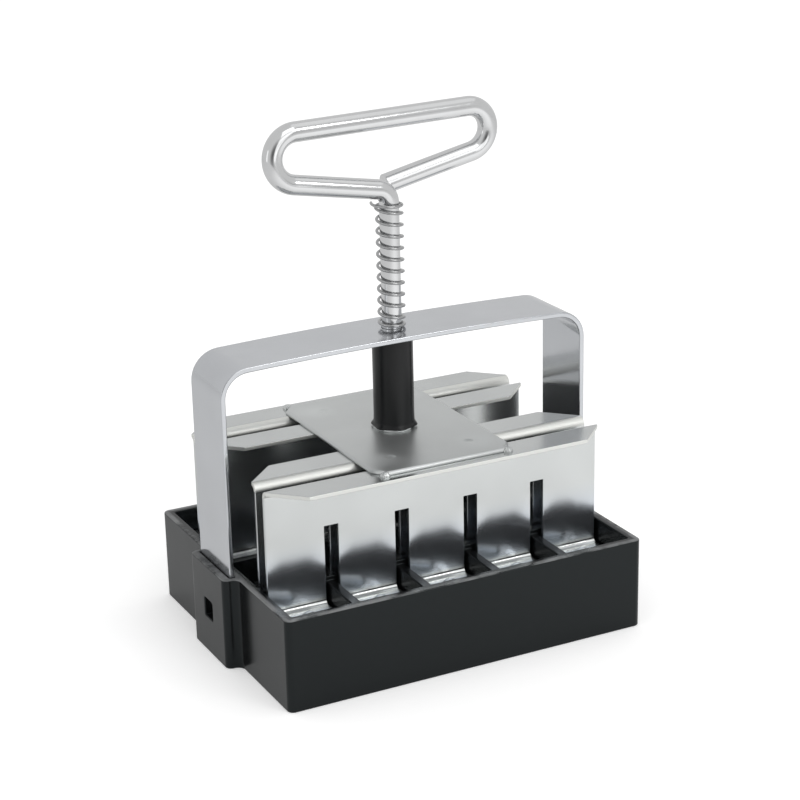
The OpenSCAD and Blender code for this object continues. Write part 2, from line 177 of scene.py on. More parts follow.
class Bench:
    """The node tree of one material or world, and the methods that fill it."""

    def __init__(self, tree: bpy.types.NodeTree) -> None:
        """Empties a tree.

        Args:
            tree: the tree to fill.
        """
        tree.nodes.clear()
        self.tree = tree

    def add(
        self,
        kind: str,
        settings: Mapping[str, object] | None = None,
        sockets: Mapping[str | int, object] | None = None,
    ) -> bpy.types.Node:
        """Adds any node.

        Args:
            kind: the node's type.
            settings: its properties, set first; "stops" are a ramp's (place, level) pairs.
            sockets: numbers, colours, values or links for its inputs.

        Returns:
            The new node.
        """
        node = self.tree.nodes.new(kind)
        for name, value in (settings or {}).items():
            if name == "stops":
                self._set_stops(node, value)
            else:
                setattr(node, name, value)
        for name, value in (sockets or {}).items():
            if isinstance(value, Value):
                self.tree.links.new(value.socket, node.inputs[name])
            elif isinstance(value, bpy.types.NodeSocket):
                self.tree.links.new(value, node.inputs[name])
            else:
                node.inputs[name].default_value = value
        return node

    @staticmethod
    def _set_stops(node: bpy.types.Node, stops: Sequence[tuple[float, float]]) -> None:
        """Sets a ramp's stops as greys."""
        elements = node.color_ramp.elements
        for element, (place, level) in zip(elements, stops, strict=True):
            element.position = place
            element.color = grey(level)

    def value(self, node: bpy.types.Node, output: str | int = 0) -> Value:
        """One output of a node, as a Value."""
        return Value(self, node.outputs[output])

    def place(self, stretch: Sequence[float] = (1.0, 1.0, 1.0)) -> bpy.types.NodeSocket:
        """Object coordinates, scaled per axis.

        Args:
            stretch: how many units a metre holds along each axis.

        Returns:
            The vector socket.
        """
        coords = self.add("ShaderNodeTexCoord")
        mapping = self.add("ShaderNodeMapping", {}, {"Vector": coords.outputs["Object"], "Scale": stretch})
        return mapping.outputs[0]

    def outward(self, stretch: Sequence[float]) -> bpy.types.NodeSocket:
        """Object coordinates without their signs, so that both halves look alike."""
        node = self.add("ShaderNodeVectorMath", {"operation": "ABSOLUTE"}, {0: self.place(stretch)})
        return node.outputs[0]

    def axes(self, vector: bpy.types.NodeSocket) -> tuple[Value, Value, Value]:
        """The three coordinates of a vector."""
        node = self.add("ShaderNodeSeparateXYZ", {}, {0: vector})
        return self.value(node, 0), self.value(node, 1), self.value(node, 2)

    def noise(self, grain: Grain) -> Value:
        """A noise pattern from 0 to 1 over the object coordinates."""
        sockets = {
            "Vector": self.place(grain.stretch),
            "Scale": grain.scale,
            "Detail": grain.detail,
            "Roughness": grain.weight,
        }
        return self.value(self.add("ShaderNodeTexNoise", {}, sockets))

    def ramp(self, value: Value, ends: Sequence[float], least: float = 0.0) -> Value:
        """A value sent through a ramp from least at its first end to 1 at its second."""
        stops = ((ends[0], least), (ends[1], 1.0))
        return self.value(self.add("ShaderNodeValToRGB", {"stops": stops}, {0: value}))

    def nearness(self, vector: bpy.types.NodeSocket, centre: Sequence[float], reach: float) -> Value:
        """1 at a centre, falling smoothly to 0 at a distance of reach.

        Args:
            vector: the vector that is compared with the centre.
            centre: where the value is 1.
            reach: the distance at which it is 0.

        Returns:
            The value 1 - (distance / reach)^2, squared, and never below 0.
        """
        apart = self.add("ShaderNodeVectorMath", {"operation": "DISTANCE"}, {0: vector, 1: centre})
        share = self.value(apart, 1) / reach
        return (1.0 - share * share).at_least(0.0) ** 2.0

    def blend(self, share: Value | float, first: object, second: object) -> bpy.types.NodeSocket:
        """A colour between two colours, by a share from 0 to 1."""
        node = self.add("ShaderNodeMix", {"data_type": "RGBA"}, {0: share, 6: first, 7: second})
        return node.outputs[2]

    def rays(self) -> tuple[Value, Value]:
        """Which rays look at a thing.

        Returns:
            1 for rays straight from the eye, and 1 for rays by way of a mirror or through glass.
        """
        path = self.add("ShaderNodeLightPath")
        mirror = self.value(path, "Is Glossy Ray") + self.value(path, "Is Transmission Ray")
        return self.value(path, "Is Camera Ray"), mirror.at_most(1.0)

    def bump(self, height: Value, relief: Relief, normal: object = None) -> bpy.types.NodeSocket:
        """A normal from a height pattern.

        Args:
            height: the pattern, from 0 to 1.
            relief: the bump's depth and strength.
            normal: the normal that is tilted, where it isn't the surface's own.

        Returns:
            The normal's socket.
        """
        sockets = {"Height": height, "Distance": relief.depth * MM, "Strength": relief.strength}
        if normal is not None:
            sockets["Normal"] = normal
        return self.add("ShaderNodeBump", {}, sockets).outputs[0]


def plated(level: float, hue: Sequence[float]) -> tuple[float, float, float, float]:
    """A colour of a level and a hue, given as shares of the level."""
    return (level * hue[0], level * hue[1], level * hue[2], 1.0)


def grey(level: float, tint: float = 0.0) -> tuple[float, float, float, float]:
    """A grey, bluer for a positive tint."""
    return plated(level, (1.0 - tint, 1.0, 1.0 + tint))


# ------------------------------------------------------------------- finishes


@dataclass(frozen=True)
class Finish:
    """A surface finish; each kind writes its own shader."""

    name: str
    slot: Slot

    def shade(self, bench: Bench) -> Mapping[str, object]:
        """What the finish puts on the shader's sockets."""
        raise NotImplementedError

    def material(self) -> bpy.types.Material:
        """The finish as a material, made once.

        Returns:
            The material.
        """
        made = bpy.data.materials.get(self.name)
        if made is not None:
            return made
        material = bpy.data.materials.new(self.name)
        material.use_nodes = True
        bench = Bench(material.node_tree)
        shader = bench.add("ShaderNodeBsdfPrincipled", {}, self.shade(bench))
        bench.add("ShaderNodeOutputMaterial", {}, {"Surface": shader.outputs[0]})
        return material


@dataclass(frozen=True)
class PlatedSheet(Finish):
    """Zinc plate over rolled steel: soft clouds, faint rolling lines, rare scuffs."""

    level: float = 0.6
    hue: tuple[float, float, float] = (0.972, 1.0, 0.995)
    spread: float = 0.05
    rough: float = 0.19
    metallic: float = 0.95
    clouds: Grain = Grain(scale=38.0, detail=4.0, weight=0.55)
    lines: Grain = Grain((60.0, 2600.0, 2600.0), detail=2.0, weight=0.6)
    waves: Grain = Grain(scale=26.0, detail=1.0, weight=0.4)
    scuffs: Grain = Grain((900.0, 240.0, 900.0))
    cloud_ends: tuple[float, float] = (0.3, 0.7)
    scuff_ends: tuple[float, float] = (0.66, 0.78)
    cloud_rough: float = 0.07
    line_rough: float = 0.05
    scuff_rough: float = 0.06
    wave_relief: Relief = Relief(0.12, 0.5)
    line_relief: Relief = Relief(0.003, 0.15)

    def shade(self, bench: Bench) -> Mapping[str, object]:
        """Clouds vary colour and gloss; lines drawn out along X, the rolling direction, are a bump."""
        clouds = bench.noise(self.clouds)
        lines = bench.noise(self.lines)
        scuffs = bench.ramp(bench.noise(self.scuffs), self.scuff_ends)
        dull = plated(self.level * (1.0 - self.spread), self.hue)
        bright = plated(self.level * (1.0 + self.spread), self.hue)
        rough = self.rough + self.cloud_rough * (clouds - 0.5) + self.line_rough * (lines - 0.5)
        swell = bench.bump(bench.noise(self.waves), self.wave_relief)
        return {
            "Base Color": bench.blend(bench.ramp(clouds, self.cloud_ends), dull, bright),
            "Metallic": self.metallic,
            "Roughness": rough + self.scuff_rough * scuffs,
            "Normal": bench.bump(lines, self.line_relief, swell),
        }


@dataclass(frozen=True)
class FoldedPlate(PlatedSheet):
    """Plated sheet, lighter (a painted highlight) and rougher round its upper fold, its fingers a little
    blue (a painted reflection) and bowed.
    """

    fold_foot: float = 57.3
    foot_fade: float = 0.6
    fold_top: float = 59.9
    top_fade: float = 0.07
    fold_highlight_level: float = 1.25
    fold_highlight_hue: tuple[float, float, float] = (0.99, 1.0, 0.965)
    fold_rough: float = 0.28
    pitch: float = 23.0
    finger_half: float = 9.25
    flat_half: float = 3.0
    foot_top: float = 22.6
    bow_top: float = 43.0
    bow_tall: float = 13.0
    bow_relief: Relief = Relief(1.0)
    middle_bow: float = 0.25
    reflection_blue: tuple[float, float, float] = (0.925, 0.99, 1.075)

    def shade(self, bench: Bench) -> Mapping[str, object]:
        """The fold's painted highlight and added roughness grow over foot_fade above fold_foot and end
        within top_fade above fold_top.

        The bow grows from middle_bow to 1 with the square of the distance from a finger's
        flat middle, and as 3t^2 - 2t^3 over bow_tall below bow_top.
        """
        made = dict(super().shade(bench))
        along, _, height = bench.axes(bench.place((1.0 / MM, 1.0, 1.0 / MM)))
        above = ((height - self.fold_foot) / self.foot_fade).share()
        below = ((self.fold_top - height) / self.top_fade + 1.0).share()
        fold = above * below
        # painted highlight: the fold's colour is drawn lighter and creamier, standing in for the lamp
        # shining in it
        fold_highlight = plated(self.level * self.fold_highlight_level, self.fold_highlight_hue)
        folded = bench.blend(fold, made["Base Color"], fold_highlight)
        made["Roughness"] = made["Roughness"] + self.fold_rough * fold
        beside = (along.distance(self.pitch) - self.flat_half).at_least(0.0)
        across = (beside / (self.finger_half - self.flat_half)) ** 2.0
        down = ((self.bow_top - height) / self.bow_tall).share()
        step = down * down * (3.0 - 2.0 * down)
        finger = (height - self.foot_top).share()
        # painted reflection: the lower fingers are tinted blue, standing in for the dark tray wall mirrored
        # in them
        made["Base Color"] = bench.blend(step * finger, folded, plated(self.level, self.reflection_blue))
        bow = across * (1.0 - self.middle_bow) + self.middle_bow
        made["Normal"] = bench.bump(bow * step, self.bow_relief, made["Normal"])
        return made


@dataclass(frozen=True)
class WeldedPlate(PlatedSheet):
    """Plated sheet that is hazy round its four spot welds."""

    weld_x: float = 15.5
    weld_y: float = 24.0
    reach: float = 8.0
    haze_level: float = 1.16
    haze_rough: float = 0.1

    def shade(self, bench: Bench) -> Mapping[str, object]:
        """Haze falls off round each weld: the surface there is lighter and duller."""
        made = dict(super().shade(bench))
        weld = (self.weld_x * MM, self.weld_y * MM, 0.0)
        haze = bench.nearness(bench.outward((1.0, 1.0, 0.0)), weld, self.reach * MM)
        hazy = plated(self.level * self.haze_level, self.hue)
        made["Base Color"] = bench.blend(haze, made["Base Color"], hazy)
        made["Roughness"] = made["Roughness"] + self.haze_rough * haze
        return made


@dataclass(frozen=True)
class BrightPlate(Finish):
    """Bright plate over drawn rod or wire: nearly a mirror, broken up by fine pits."""

    level: float = 0.68
    rough: float = 0.115
    clouds: Grain = Grain(scale=120.0, detail=4.0, weight=0.6)
    pits: Grain = Grain(scale=1400.0, detail=2.0, weight=0.6)
    cloud_rough: float = 0.06
    pit_relief: Relief = Relief(0.004, 0.25)
    shades: tuple[tuple[float, float], ...] = ((0.93, 0.006), (1.04, 0.01))

    def shade(self, bench: Bench) -> Mapping[str, object]:
        """Small clouds dull the mirror here and there, and the pits are a bump."""
        clouds = bench.noise(self.clouds)
        dull, bright = (grey(self.level * share, tint) for share, tint in self.shades)
        return {
            "Base Color": bench.blend(clouds, dull, bright),
            "Metallic": 1.0,
            "Roughness": self.rough + self.cloud_rough * (clouds - 0.5),
            "Normal": bench.bump(bench.noise(self.pits), self.pit_relief),
        }


@dataclass(frozen=True)
class Moulding(Finish):
    """Black moulded plastic: satin faces with a fine texture, and a rim scoured by soil."""

    level: float = 0.0045
    rough: float = 0.21
    mirroring: float = 0.27
    mirror_hue: tuple[float, float, float, float] = (0.88, 1.0, 1.03, 1.0)
    texture: Grain = Grain(scale=5200.0, detail=2.0)
    sinks: Grain = Grain(scale=42.0, detail=2.0)
    marks: Grain = Grain((260.0, 260.0, 1300.0), detail=4.0, weight=0.65)
    wear: Grain = Grain(scale=75.0, detail=4.0, weight=0.6)
    tint: float = 0.05
    texture_relief: Relief = Relief(0.004, 0.25)
    sink_relief: Relief = Relief(0.3, 0.35)
    sink_rough: float = 0.1
    mark_ends: tuple[float, float] = (0.58, 0.8)
    mark_share: float = 0.5
    mark_level: float = 2.2
    mark_tint: float = 0.02
    mark_rough: float = 0.05
    rim: float = 30.0
    rim_x: float = 57.0
    rim_y: float = 45.5
    rim_fade: float = 0.2
    rim_lead: float = 1.5
    wear_ends: tuple[float, float] = (0.4, 0.6)
    least_wear: float = 0.05
    scoured: float = 0.2
    scoured_tint: float = 0.015
    scoured_rough: float = 0.2

    def shade(self, bench: Bench) -> Mapping[str, object]:
        """Texture and soft sink marks are bumps; soil has scoured the outer rim grey in patches.

        The scouring grows to full over rim_fade, from rim_lead times that below the rim.
        """
        sinks = bench.noise(self.sinks)
        marks = bench.ramp(bench.noise(self.marks), self.mark_ends)
        marked = grey(self.level * self.mark_level, self.mark_tint)
        colour = bench.blend(marks * self.mark_share, grey(self.level, self.tint), marked)
        out_x, out_y, height = bench.axes(bench.outward((1.0 / MM,) * 3))
        outer = (out_x - self.rim_x).at_least(out_y - self.rim_y).share()
        top = ((height - self.rim) / self.rim_fade + self.rim_lead).share() * outer
        scour = top * bench.ramp(bench.noise(self.wear), self.wear_ends, self.least_wear)
        rough = self.rough + self.sink_rough * (sinks - 0.5) + self.mark_rough * marks
        sunk = bench.bump(sinks, self.sink_relief)
        return {
            "Base Color": bench.blend(scour, colour, grey(self.scoured, self.scoured_tint)),
            "Roughness": rough + self.scoured_rough * scour,
            "Specular IOR Level": self.mirroring,
            "Specular Tint": self.mirror_hue,
            "Normal": bench.bump(bench.noise(self.texture), self.texture_relief, sunk),
        }


@dataclass(frozen=True)
class Hose(Finish):
    """Smooth black hose with faint lines along its length."""

    level: float = 0.007
    rough: float = 0.3
    mirroring: float = 0.3
    lines: Grain = Grain((1500.0, 1500.0, 25.0), detail=2.0)
    clouds: Grain = Grain(scale=90.0)
    cloud_rough: float = 0.12
    line_relief: Relief = Relief(0.01, 0.3)
    shades: tuple[tuple[float, float], ...] = ((0.85, 0.06), (1.3, 0.08))

    def shade(self, bench: Bench) -> Mapping[str, object]:
        """Extrusion lines run along Z; the gloss varies slowly."""
        clouds = bench.noise(self.clouds)
        dark, pale = (grey(self.level * share, tint) for share, tint in self.shades)
        return {
            "Base Color": bench.blend(clouds, dark, pale),
            "Roughness": self.rough + self.cloud_rough * (clouds - 0.5),
            "Specular IOR Level": self.mirroring,
            "Normal": bench.bump(bench.noise(self.lines), self.line_relief),
        }


ZINC_SHEET = FoldedPlate("zinc_sheet_finish", Slot.SHEET)
ZINC_PLATE = WeldedPlate("zinc_plate_finish", Slot.SHEET, rough=0.36, metallic=0.88)
ZINC_STRAP = PlatedSheet(
    "zinc_strap_finish", Slot.STRAP, level=0.57, hue=(0.97, 0.995, 1.035), rough=0.14, metallic=0.93
)
ZINC_FASTENER = PlatedSheet(
    "zinc_fastener_finish", Slot.FASTENER, level=0.58, rough=0.22, metallic=0.86
)
WELD = PlatedSheet("weld_finish", Slot.WELD, rough=0.26)
ROD = BrightPlate("bright_rod_finish", Slot.ROD)
WIRE = BrightPlate("spring_wire_finish", Slot.WIRE, level=0.42, rough=0.18)
HOSE = Hose("black_hose_finish", Slot.HOSE)


# --------------------------------------------------------------------- meshes

FULL_TURN = 2.0 * math.pi
SHARP_ANGLE = math.radians(30.0)
GRID_MERGE = 0.0005
CAD_MERGE = 0.001
FLAT_WEIGHT = 80


def unit(vectors: Array) -> Array:
    """Rows of vectors at length one."""
    return vectors / np.linalg.norm(vectors, axis=-1, keepdims=True)


def ease(share: Array) -> Array:
    """Smooth step from 0 to 1: 3s^2 - 2s^3, flat outside."""
    s = np.clip(share, 0.0, 1.0)
    return s * s * (3.0 - 2.0 * s)


def lengths(path: Array) -> Array:
    """How far along a path each of its points lies."""
    steps = np.linalg.norm(np.diff(path, axis=0), axis=1)
    return np.concatenate([[0.0], np.cumsum(steps)])


def around(sides: int) -> Array:
    """Angles that divide a full turn evenly."""
    return np.linspace(0.0, FULL_TURN, sides, endpoint=False)


def circle(radius: float, sides: int) -> Array:
    """Points of a circle: radius times (cos a, sin a)."""
    a = around(sides)
    return radius * np.stack([np.cos(a), np.sin(a)], axis=1)


def turned(radius: Array, height: Array, angle: Array) -> Array:
    """Points about Z at (r cos a, r sin a, z), in the grid that the three arrays span."""
    r, z, a = np.broadcast_arrays(radius, height, angle)
    return np.stack([r * np.cos(a), r * np.sin(a), z], axis=-1)


def arc(cx: float, cz: float, radius: float, a0: float, a1: float, step: float = 3.0) -> Array:
    """Points of an arc in the XZ plane.

    Args:
        cx: the centre's X.
        cz: the centre's Z.
        radius: the arc's radius.
        a0: angle of the first point, in degrees.
        a1: angle of the last point.
        step: degrees between points.

    Returns:
        Rows of (x, 0, z) = centre + radius (cos a, sin a).
    """
    a = np.radians(np.linspace(a0, a1, math.ceil(abs(a1 - a0) / step) + 1))
    return np.stack([cx + radius * np.cos(a), np.zeros_like(a), cz + radius * np.sin(a)], axis=1)


def carry(path: Array, section: Array, side: Sequence[float]) -> Array:
    """A section carried along a path.

    At each point, t is the path's direction, u = t x side and w = u x t. A section point
    (a, b) goes to path + a u + b w.

    Args:
        path: the path's points.
        section: the section's points, in the plane across the path.
        side: a direction that the path never takes.

    Returns:
        A grid of points, one row for each point of the path.
    """
    t = unit(np.gradient(path, axis=0))
    u = unit(np.cross(t, np.asarray(side, float)))
    w = np.cross(u, t)
    return path[:, None] + (section[:, :1] * u[:, None] + section[:, 1:] * w[:, None])


def hang(name: str, data: bpy.types.ID) -> bpy.types.Object:
    """Puts a mesh, a lamp or a camera into the scene as an object."""
    made = bpy.data.objects.new(name, data)
    bpy.context.scene.collection.objects.link(made)
    return made


@dataclass
class Shell:
    """Points and faces of one mesh, gathered surface by surface."""

    points: list[Array] = field(default_factory=list)
    faces: list[Array] = field(default_factory=list)
    count: int = 0

    def grid(self, grid: Array, flip: bool = False) -> None:
        """Adds a grid of points as quads, its last column joined to the first.

        Args:
            grid: the points, by row and column.
            flip: turns the faces over.
        """
        rows, columns = grid.shape[:2]
        left = self.count + np.arange(rows * columns).reshape(rows, columns)
        right = np.roll(left, -1, axis=1)
        quads = np.stack([left[:-1], left[1:], right[1:], right[:-1]], axis=-1).reshape(-1, 4)
        self.points.append(grid.reshape(-1, 3))
        self.faces.append(quads[:, ::-1] if flip else quads)
        self.count += rows * columns

    def lid(self, ring: Array, flip: bool = False) -> None:
        """Closes a ring of points with a fan about its middle."""
        n = len(ring)
        index = self.count + np.arange(n)
        fan = np.stack([index, np.roll(index, -1), np.full(n, self.count + n)], axis=1)
        self.points.append(np.concatenate([ring, ring.mean(axis=0, keepdims=True)]))
        self.faces.append(fan[:, ::-1] if flip else fan)
        self.count += n + 1

    def piece(self, name: str, smooth_angle: float = 35.0) -> bpy.types.Object:
        """Makes the mesh and its object, with doubles merged.

        Args:
            name: the piece's name.
            smooth_angle: edges sharper than this, in degrees, stay sharp.

        Returns:
            The object, at the origin.
        """
        mesh = bpy.data.meshes.new(name)
        faces = [tuple(face) for block in self.faces for face in block.tolist()]
        points = np.concatenate(self.points) * MM
        mesh.from_pydata(points.tolist(), [], faces)
        bm = bmesh.new()
        bm.from_mesh(mesh)
        bmesh.ops.remove_doubles(bm, verts=bm.verts, dist=GRID_MERGE * MM)
        bm.to_mesh(mesh)
        bm.free()
        mesh.shade_smooth()
        mesh.set_sharp_from_angle(angle=math.radians(smooth_angle))
        return hang(name, mesh)


def rounded_copy(node: str, width: float, segments: int = 3, above: float | None = None) -> bpy.types.Object:
    """A copy of a CAD node whose edges are rounded.

    Args:
        node: the CAD node.
        width: how far the rounding reaches from each edge.
        segments: facets across the rounding.
        above: where given, edges that reach below this height stay sharp.

    Returns:
        The copy.
    """
    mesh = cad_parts[node].data.copy()
    bm = bmesh.new()
    bm.from_mesh(mesh)
    bmesh.ops.remove_doubles(bm, verts=bm.verts, dist=CAD_MERGE * MM)
    if above is not None:
        weight = bm.edges.layers.float.new("bevel_weight_edge")
        for edge in bm.edges:
            sharp = edge.calc_face_angle(0.0) > SHARP_ANGLE
            high = min(vert.co.z for vert in edge.verts) > above * MM
            edge[weight] = float(sharp and high)
    bm.to_mesh(mesh)
    bm.free()
    mesh.materials.clear()
    mesh.shade_smooth()
    piece = hang(f"{node}_skin", mesh)
    bevel = piece.modifiers.new("rounding", "BEVEL")
    bevel.width = width * MM
    bevel.segments = segments
    bevel.limit_method = "ANGLE" if above is None else "WEIGHT"
    bevel.angle_limit = SHARP_ANGLE
    bevel.use_clamp_overlap = False
    bevel.loop_slide = False
    bevel.miter_outer = "MITER_ARC"
    weighted = piece.modifiers.new("flats", "WEIGHTED_NORMAL")
    weighted.keep_sharp = False
    weighted.weight = FLAT_WEIGHT
    return piece


def dress(piece: bpy.types.Object, finish: Finish, body: Body, *nodes: str) -> None:
    """Gives a piece its finish and its body, in place of the CAD nodes it stands for."""
    piece.data.materials.append(finish.material())
    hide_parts(*nodes)
    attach(piece, body.value)
    log.info("%s: %d faces", piece.name, len(piece.data.polygons))


# --------------------------------------------------------------- sub-assemblies


@dataclass
class CellBlock:
    """The black block of cells with its two strap sockets."""

    rounding: float = 0.4

    def build(self) -> None:
        """Rounds the block's edges, as moulding leaves them."""
        black = Moulding("black_moulding_finish", Slot.MOULDING, rim=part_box("mould_tray")[1].z / MM)
        dress(rounded_copy("mould_tray", self.rounding), black, Body.MOULD, "mould_tray")


@dataclass
class Strap:
    """The bent strap with its latching tongues."""

    rounding: float = 0.35

    def build(self) -> None:
        """Rounds the rolled strip's edges."""
        dress(rounded_copy("strap_handle", self.rounding), ZINC_STRAP, Body.MOULD, "strap_handle")


@dataclass
class FoldedSheets:
    """The four folded sheets that push the cubes out."""

    rounding: float = 0.16
    nodes: tuple[str, ...] = ("ejector_front", "ejector_mid_front", "ejector_mid_rear", "ejector_rear")

    def build(self) -> None:
        """Takes the sharpness off each sheet's cut edges."""
        for node in self.nodes:
            dress(rounded_copy(node, self.rounding, segments=2), ZINC_SHEET, Body.PLUNGER, node)


@dataclass
class SeedPins:
    """The twenty riveted pins, one in each foot, whose tips press the seeds' dimples."""

    columns: int = 5
    rows: int = 4
    head_r: float = 2.5
    head_h: float = 2.6
    head_shoulder: float = 0.12
    tip_r: float = 2.2
    tip_shoulder: float = 0.1
    shank_r: float = 1.45
    sheet_t: float = 1.2
    bevel: float = 0.08
    sides: int = 32
    dome_steps: int = 10

    def _dome(self, radius: float, shoulder: float, pole: float) -> Array:
        """Points (r cos t, shoulder + h sin t) of a quarter ellipse, from its pole to its shoulder."""
        t = np.linspace(0.5 * math.pi, 0.0, self.dome_steps)
        return np.stack([radius * np.cos(t), shoulder + (pole - shoulder) * np.sin(t)], axis=1)

    def build(self) -> None:
        """Turns one profile about each cell's middle: a domed head, a shank and a domed tip."""
        low, high = (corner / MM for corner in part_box("seed_pins"))
        seat = high.z - self.head_h
        foot = seat - self.sheet_t
        head = self._dome(self.head_r, seat + self.head_shoulder, high.z)
        tip = self._dome(self.tip_r, foot - self.tip_shoulder, low.z)[::-1]
        upper = np.array([[self.head_r - self.bevel, seat], [self.shank_r, seat]])
        lower = np.array([[self.shank_r, foot], [self.tip_r - self.bevel, foot]])
        profile = np.concatenate([head, upper, lower, tip])
        pin = turned(profile[:, :1], profile[:, 1:], around(self.sides))
        shell = Shell()
        for x in np.linspace(low.x + self.head_r, high.x - self.head_r, self.columns):
            for y in np.linspace(low.y + self.head_r, high.y - self.head_r, self.rows):
                shell.grid(pin + np.array([x, y, 0.0]))
        rivets = shell.piece("seed_pin_rivets", smooth_angle=40.0)
        dress(rivets, ZINC_FASTENER, Body.PLUNGER, "seed_pins")


@dataclass
class Bridge:
    """The bridge plate, its weld beads and the fasteners that clamp it on the rod."""

    rounding: float = 0.95
    fasteners: tuple[str, ...] = ("lock_washer", "plate_washer", "thin_nut", "rod_nut")
    fastener_rounding: float = 0.12
    bead_r: float = 1.5
    bead_flatness: float = 0.95
    lobes: int = 5
    lobe_swell: float = 0.09
    oval_swell: float = 0.05
    bead_turn: float = 1.7
    rings: int = 17
    sides: int = 32

    def build(self) -> None:
        """Dresses plate, beads, washers and nuts; the plate is rounded on its upper side only."""
        low, high = (corner.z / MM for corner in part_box("bridge_plate"))
        plate = rounded_copy("bridge_plate", self.rounding, segments=6, above=(low + high) / 2.0)
        dress(plate, ZINC_PLATE, Body.PLUNGER, "bridge_plate")
        for node in self.fasteners:
            fastener = rounded_copy(node, self.fastener_rounding, segments=2)
            dress(fastener, ZINC_FASTENER, Body.PLUNGER, node)
        self._beads()

    def _beads(self) -> None:
        """Lumpy beads: spheres whose radius swells by sin(lobes a) and cos(2 a), each times cos b."""
        low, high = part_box("bridge_welds")
        centres = [
            (x, y, low.z / MM)
            for x in (low.x / MM + self.bead_r, high.x / MM - self.bead_r)
            for y in (low.y / MM + self.bead_r, high.y / MM - self.bead_r)
        ]
        b = np.linspace(-0.5, 0.5, self.rings)[:, None] * math.pi
        a = around(self.sides)
        shell = Shell()
        for n, centre in enumerate(centres):
            lobed = self.lobe_swell * np.sin(self.lobes * a + self.bead_turn * n)
            oval = self.oval_swell * np.cos(2 * a + n)
            r = self.bead_r * (1.0 + (lobed + oval) * np.cos(b))
            bead = turned(r * np.cos(b), self.bead_flatness * r * np.sin(b), a)
            shell.grid(bead + np.array(centre), flip=True)
        dress(shell.piece("weld_beads"), WELD, Body.PLUNGER, "bridge_welds")


@dataclass
class Sleeve:
    """The hose over the rod, its foot stretched over the thin nut."""

    radius: float = 6.2
    bore: float = 4.7
    flat_flare: float = 0.3
    corner_flare: float = 0.68
    flare_h: float = 1.5
    crease_h: float = 4.5
    crease_share: float = 0.2
    corner_at: float = -96.8
    corner_power: float = 1.5
    foot_wall: float = 0.2
    wide_wall: float = 0.3
    wide_h: float = 3.5
    bore_h: float = 4.0
    lip: float = 0.3
    lip_steps: int = 6
    fine_h: float = 5.0
    fine_rows: int = 26
    plain_rows: int = 24
    row_gap: float = 0.5
    sides: int = 120

    def _profile(self, top: float) -> Array:
        """Radii and heights of the hose wall, up the outside, over the lip and down the bore.

        Args:
            top: the hose's height.

        Returns:
            Rows of (radius, height above the foot), close together over the flare.
        """
        fine = np.linspace(0.0, self.fine_h, self.fine_rows)
        plain = np.linspace(self.fine_h + self.row_gap, top - self.lip, self.plain_rows)
        rise = np.concatenate([fine, plain])
        radius = self.radius + self.flat_flare * (1.0 - ease(rise / self.flare_h))
        outside = np.stack([radius, rise], axis=1)
        t = np.linspace(0.0, 0.5 * math.pi, self.lip_steps + 1)[1:]
        lip = [self.radius, top] - self.lip * np.stack([1.0 - np.cos(t), 1.0 - np.sin(t)], axis=1)
        widened = [[self.radius - self.wide_wall, self.wide_h], [self.radius - self.foot_wall, 0.0]]
        inside = np.array([[self.bore, top], [self.bore, self.bore_h], *widened])
        return np.concatenate([outside, lip, inside, outside[:1]])

    def build(self) -> None:
        """Turns the profile about Z, with a foot that six corners of the nut push out.

        The radius at angle a grows by corner_flare f ((1 + cos 6(a - corner_at)) / 2)^corner_power.
        The share f is 1 at the foot. Most of it is gone at flare_h, and crease_share of it only
        at crease_h.
        """
        low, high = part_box("spacer_sleeve")
        z0, z1 = low.z / MM, high.z / MM
        profile = self._profile(z1 - z0)
        height = profile[:, 1:]
        a = around(self.sides)
        corner = (0.5 + 0.5 * np.cos(6.0 * (a - math.radians(self.corner_at)))) ** self.corner_power
        flare, crease = 1.0 - ease(height / self.flare_h), 1.0 - ease(height / self.crease_h)
        fade = (1.0 - self.crease_share) * flare + self.crease_share * crease
        r = profile[:, :1] + self.corner_flare * corner * fade
        shell = Shell()
        shell.grid(turned(r, z0 + height, a), flip=True)
        hose = shell.piece("sleeve_hose", smooth_angle=50.0)
        dress(hose, HOSE, Body.PLUNGER, "spacer_sleeve")


@dataclass
class ReturnSpring:
    """The left-handed spring between strap and handle."""

    wire_r: float = 0.45
    coil_r: float = 3.8
    seat_gap: float = 0.05
    length: float = 38.55
    active_turns: float = 9.6
    end_turns: float = 2.0
    end_pitch: float = 1.4
    start: float = 97.0
    tail_turns: float = 0.25
    lean: float = 0.75
    lean_to: tuple[float, float] = (-0.89, 0.45)
    lean_from: float = 1.2
    lean_over: float = 0.7
    rings_a_turn: int = 60
    sides: int = 20
    stroke: float = 18.0

    def build(self) -> None:
        """Carries the wire's circle along the coil.

        The wire's middle after n turns is coil_r (cos a, sin a) at height z(n), with
        a = start - 360 n; z rises by end_pitch over each end turn and evenly between. The
        last turn widens by lean and shifts as far to one side, where its tail ends.
        """
        strap_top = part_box("strap_handle")[1].z / MM
        z0 = strap_top + self.seat_gap + self.wire_r
        z1 = z0 + self.length - 2.0 * self.wire_r
        turns = self.active_turns + self.end_turns + self.tail_turns
        n = np.linspace(0.0, turns, round(turns * self.rings_a_turn))
        z = np.interp(n, [0.0, 1.0, turns - 1.0, turns], [z0, z0 + self.end_pitch, z1 - self.end_pitch, z1])
        a = np.radians(self.start - 360.0 * n)
        lean = self.lean * ease((n - turns + self.lean_from) / self.lean_over)
        path = turned(self.coil_r + lean, z, a)
        path[:, :2] += lean[:, None] * self.lean_to
        wire = carry(path, circle(self.wire_r, self.sides), (0.0, 0.0, 1.0))
        shell = Shell()
        shell.grid(wire)
        shell.lid(wire[0], flip=True)
        shell.lid(wire[-1])
        piece = shell.piece("spring_coil", smooth_angle=50.0)
        dress(piece, WIRE, Body.MOULD, "return_spring")
        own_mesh(piece)


